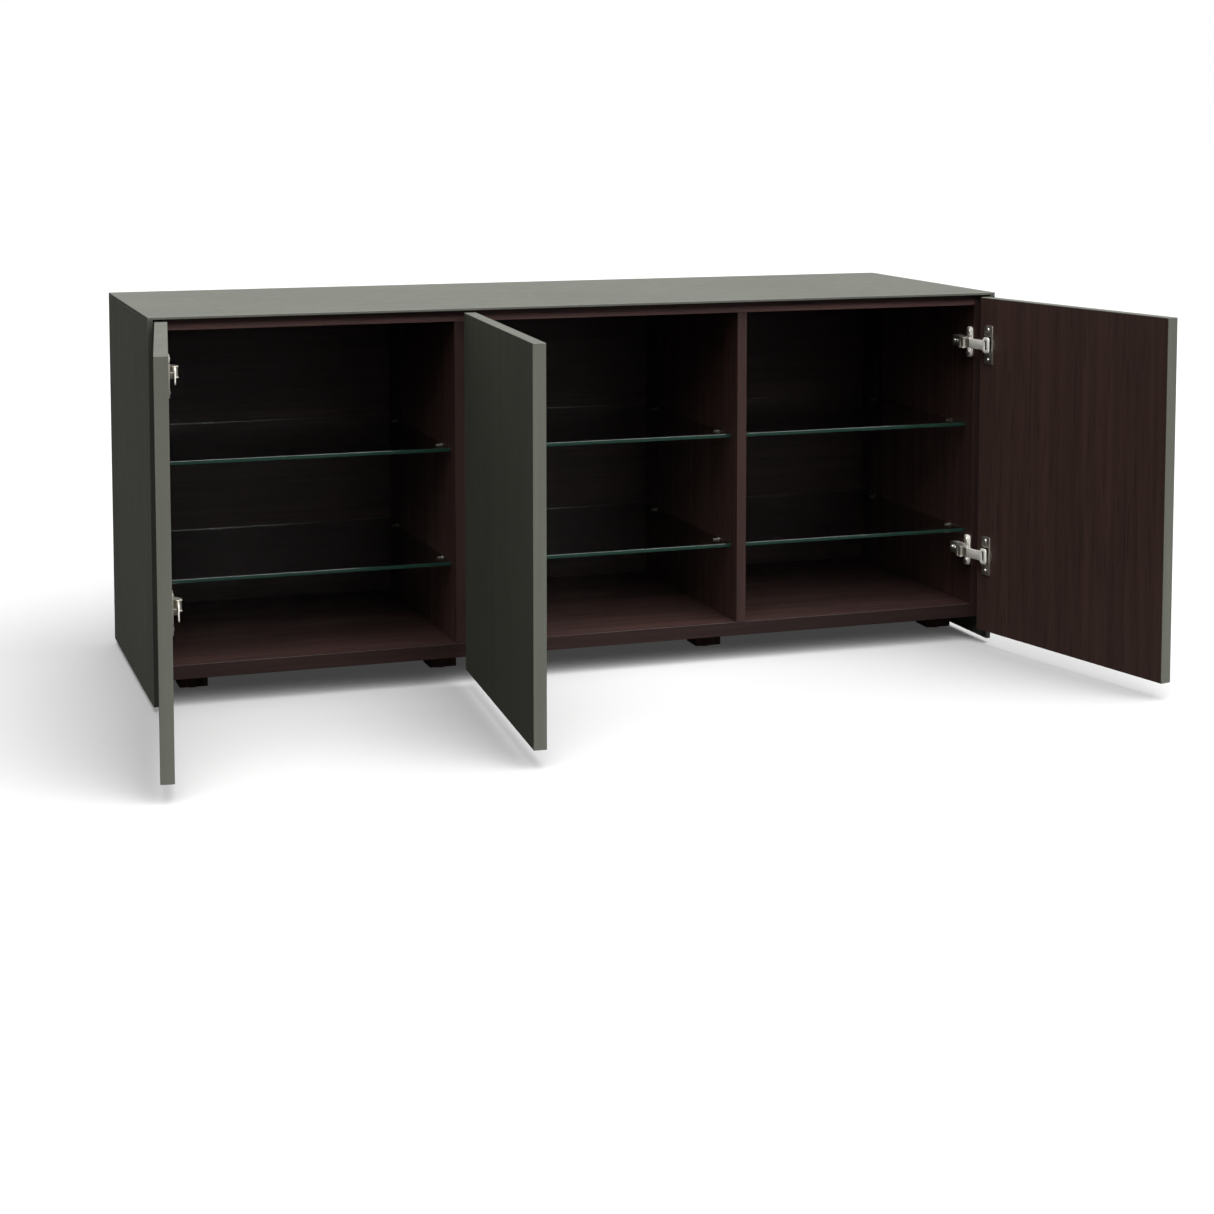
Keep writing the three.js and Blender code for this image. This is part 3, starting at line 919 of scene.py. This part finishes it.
def make_link(door, level):
    """Link: barrel on its pin, short neck, flat bar with a slotted end, and a hook into the cup."""
    node = f"link_{door}_{level}"
    place = on_link(door)
    z = middle_z(node)
    slot = plate(SLOT_WIDTH, SLOT_HEIGHT, SLOT_DEPTH, SLOT_CORNER)
    moved(slot, Matrix.Translation((SLOT_X, 0, -BAR_SHEET)))
    bar = bored(prism(loop_outline(), BAR_SHEET, 0.5 * MM), [slot])
    neck_low = (NECK_FROM, BAR_UNDER - 0.2 * MM, z - NECK_HALF)
    neck_high = (NECK_TO, BAR_UNDER + BAR_SHEET + 0.2 * MM, z + NECK_HALF)
    hook_low = (HOOK_FROM, HOOK_TIP, z - HOOK_HALF)
    hook_high = (HOOK_TO, BAR_UNDER + 0.4 * MM, z + HOOK_HALF)
    barrel = upright_pin(BARREL_RADIUS, NECK_HALF, 0.4 * MM, 28)
    pin = upright_pin(HINGE_PIN_RADIUS, HINGE_PIN_HALF, 0.2 * MM, 20)
    parts = [
        (moved(bar, Matrix.Translation((0, BAR_UNDER, z)) @ ALONG_Y), 0),
        (block(neck_low, neck_high, 0.5 * MM), 1),
        (block(hook_low, hook_high, 0.9 * MM), 3),
        (moved(barrel, Matrix.Translation((0, 0, z))), 1),
        (moved(pin, Matrix.Translation((0, 0, z))), 2),
    ]
    mesh = moved(collected(parts), place)
    # The hook takes the darker bowl steel as painted shade; the bar takes the bright nickel as a painted
    # reflection.
    finishes = [NICKEL_PAINTED_REFLECTION, NICKEL, SCREW_STEEL, BOWL_STEEL_SHADED]
    name = f"hinge_link_{door}_{level}"
    piece(name, mesh, finishes, f"links_{door}", [node], smooth=True)


# ---------------------------------------------------------------- stage


def make_floor():
    """Wide pale floor, paler to the camera than in what it throws back."""
    mesh = bmesh.new()
    bmesh.ops.create_grid(mesh, x_segments=8, y_segments=8, size=FLOOR_SIZE)
    data = bpy.data.meshes.new("studio_floor")
    mesh.to_mesh(data)
    mesh.free()
    material = bpy.data.materials.new("pale_paper")
    material.use_nodes = True
    tree = material.node_tree
    shader = tree.nodes["Principled BSDF"]
    seen = add(tree, "ShaderNodeLightPath").outputs["Is Camera Ray"]
    join(tree, mixed(tree, seen, FLOOR_BOUNCE, FLOOR_SEEN), shader.inputs["Base Color"])
    shader.inputs["Roughness"].default_value = 0.95
    shader.inputs["Specular IOR Level"].default_value = 0.0
    shader.inputs["Emission Color"].default_value = WHITE
    join(tree, maths(tree, "MULTIPLY", seen, FLOOR_GLOW), shader.inputs["Emission Strength"])
    data.materials.append(material)
    floor = bpy.data.objects.new("studio_floor", data)
    bpy.context.scene.collection.objects.link(floor)


def make_light():
    """Broad key lamp at the front right, a weak one behind, a faint even fill and white air."""
    world = bpy.data.worlds.new("studio")
    bpy.context.scene.world = world
    world.use_nodes = True
    tree = world.node_tree
    fill = tree.nodes["Background"]
    fill.inputs["Color"].default_value = WHITE
    fill.inputs["Strength"].default_value = FILL
    white = add(tree, "ShaderNodeBackground")
    white.inputs["Color"].default_value = WHITE
    choice = add(tree, "ShaderNodeMixShader")
    join(tree, add(tree, "ShaderNodeLightPath").outputs["Is Camera Ray"], choice.inputs["Fac"])
    join(tree, fill.outputs["Background"], choice.inputs[1])
    join(tree, white.outputs["Background"], choice.inputs[2])
    join(tree, choice.outputs["Shader"], tree.nodes["World Output"].inputs["Surface"])
    make_lamp("key", *KEY)
    make_lamp("back_lamp", *BACK_LAMP).visible_glossy = False


def make_lamp(name, energy, rise, side, spread_angle):
    """Soft lamp, far off; rise, side and spread are in degrees."""
    data = bpy.data.lights.new(name, "SUN")
    data.energy = energy
    data.angle = math.radians(spread_angle)
    lamp = bpy.data.objects.new(name, data)
    rise, side = math.radians(rise), math.radians(side)
    towards = Vector((math.sin(side) * math.cos(rise), -math.cos(side) * math.cos(rise), math.sin(rise)))
    lamp.rotation_euler = towards.to_track_quat("Z", "Y").to_euler()
    bpy.context.scene.collection.objects.link(lamp)
    return lamp


def make_camera():
    data = bpy.data.cameras.new("camera")
    data.lens = CAMERA_LENS
    data.sensor_width = CAMERA_SENSOR
    data.shift_y = CAMERA_SHIFT
    camera = bpy.data.objects.new("camera", data)
    camera.location = CAMERA_PLACE
    camera.rotation_euler = (math.pi / 2 - CAMERA_TILT, 0.0, -CAMERA_TURN)
    bpy.context.scene.collection.objects.link(camera)
    bpy.context.scene.camera = camera


make_camera()
make_light()
make_floor()
make_boards()
make_feet()
for bay in BAYS:
    for level in LEVELS:
        make_shelf(bay, level)
for door in BAYS:
    make_door(door)
    for level in LEVELS:
        make_cup(door, level)
        make_mounting_plate(door, level)
        make_arm(door, level)
        make_link(door, level)
bpy.context.scene.view_settings.view_transform = "Standard"
